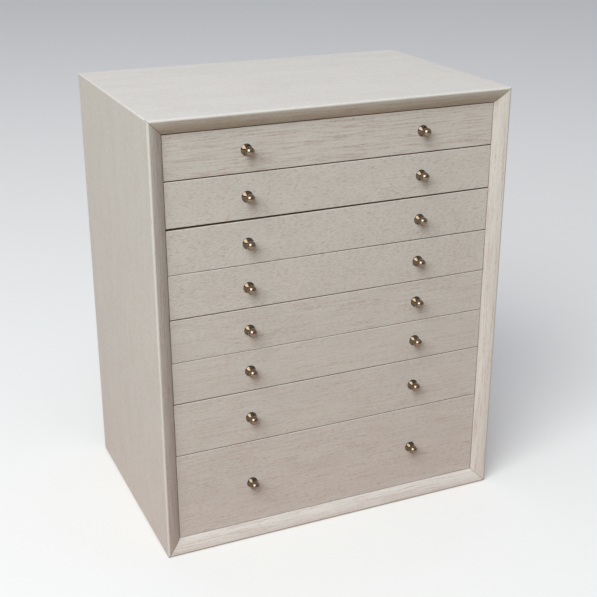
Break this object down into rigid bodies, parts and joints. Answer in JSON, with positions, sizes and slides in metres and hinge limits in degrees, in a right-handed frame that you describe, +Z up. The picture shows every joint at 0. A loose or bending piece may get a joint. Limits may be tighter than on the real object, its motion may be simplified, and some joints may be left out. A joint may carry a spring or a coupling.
{
  "type": "jewelry case",
  "caption": "Upright wooden jewelry case with a mitred front frame and a stack of inset drawers with small round metal knobs, lined with velvet.",
  "frame": {"origin": "middle of the underside of the case", "axes": "+Z up, +X to the right as seen from the front, the drawers open towards -Y"},
  "size_m": [0.35, 0.2355, 0.418],
  "materials": {
    "limed_oak": "limed oak under satin lacquer",
    "drawer_wood": "plain pale wood, thin clear seal",
    "back_board": "limed thin board",
    "runner_wood": "waxed hardwood",
    "velvet": "short pile",
    "knob_metal": "polished, nickel toned",
    "screw_steel": "zinc plated"
  },
  "bodies": {
    "case": {"bottom_board": "limed_oak", "left_side": "limed_oak", "top_board": "limed_oak", "right_side": "limed_oak", "frame_bottom_rail": "limed_oak", "frame_left_stile": "limed_oak", "frame_top_rail": "limed_oak", "frame_right_stile": "limed_oak", "back_panel": "back_board", "back_screws": "screw_steel", "drawer_runners": "runner_wood"},
    "drawer_1": {"drawer_1_front": "limed_oak", "drawer_1_sides": "drawer_wood", "drawer_1_back": "drawer_wood", "drawer_1_bottom": "drawer_wood", "drawer_1_lining": "velvet", "drawer_1_knobs": "knob_metal", "drawer_1_ring_rolls": "velvet"},
    "drawer_2": {"drawer_2_front": "limed_oak", "drawer_2_sides": "drawer_wood", "drawer_2_back": "drawer_wood", "drawer_2_bottom": "drawer_wood", "drawer_2_lining": "velvet", "drawer_2_knobs": "knob_metal"},
    "drawer_3": {"drawer_3_front": "limed_oak", "drawer_3_sides": "drawer_wood", "drawer_3_back": "drawer_wood", "drawer_3_bottom": "drawer_wood", "drawer_3_lining": "velvet", "drawer_3_knobs": "knob_metal"},
    "drawer_4": {"drawer_4_front": "limed_oak", "drawer_4_sides": "drawer_wood", "drawer_4_back": "drawer_wood", "drawer_4_bottom": "drawer_wood", "drawer_4_lining": "velvet", "drawer_4_knobs": "knob_metal"},
    "drawer_5": {"drawer_5_front": "limed_oak", "drawer_5_sides": "drawer_wood", "drawer_5_back": "drawer_wood", "drawer_5_bottom": "drawer_wood", "drawer_5_lining": "velvet", "drawer_5_knobs": "knob_metal"},
    "drawer_6": {"drawer_6_front": "limed_oak", "drawer_6_sides": "drawer_wood", "drawer_6_back": "drawer_wood", "drawer_6_bottom": "drawer_wood", "drawer_6_lining": "velvet", "drawer_6_knobs": "knob_metal"},
    "drawer_7": {"drawer_7_front": "limed_oak", "drawer_7_sides": "drawer_wood", "drawer_7_back": "drawer_wood", "drawer_7_bottom": "drawer_wood", "drawer_7_lining": "velvet", "drawer_7_knobs": "knob_metal"},
    "drawer_8": {"drawer_8_front": "limed_oak", "drawer_8_sides": "drawer_wood", "drawer_8_back": "drawer_wood", "drawer_8_bottom": "drawer_wood", "drawer_8_lining": "velvet", "drawer_8_knobs": "knob_metal"}
  },
  "joints": [
    {"name": "drawer_1_slide", "type": "slide", "parent": "case", "child": "drawer_1", "axis": [0, -1, 0], "range_m": [0, 0.15]},
    {"name": "drawer_2_slide", "type": "slide", "parent": "case", "child": "drawer_2", "axis": [0, -1, 0], "range_m": [0, 0.15]},
    {"name": "drawer_3_slide", "type": "slide", "parent": "case", "child": "drawer_3", "axis": [0, -1, 0], "range_m": [0, 0.15]},
    {"name": "drawer_4_slide", "type": "slide", "parent": "case", "child": "drawer_4", "axis": [0, -1, 0], "range_m": [0, 0.15]},
    {"name": "drawer_5_slide", "type": "slide", "parent": "case", "child": "drawer_5", "axis": [0, -1, 0], "range_m": [0, 0.15]},
    {"name": "drawer_6_slide", "type": "slide", "parent": "case", "child": "drawer_6", "axis": [0, -1, 0], "range_m": [0, 0.15]},
    {"name": "drawer_7_slide", "type": "slide", "parent": "case", "child": "drawer_7", "axis": [0, -1, 0], "range_m": [0, 0.15]},
    {"name": "drawer_8_slide", "type": "slide", "parent": "case", "child": "drawer_8", "axis": [0, -1, 0], "range_m": [0, 0.15]}
  ]
}
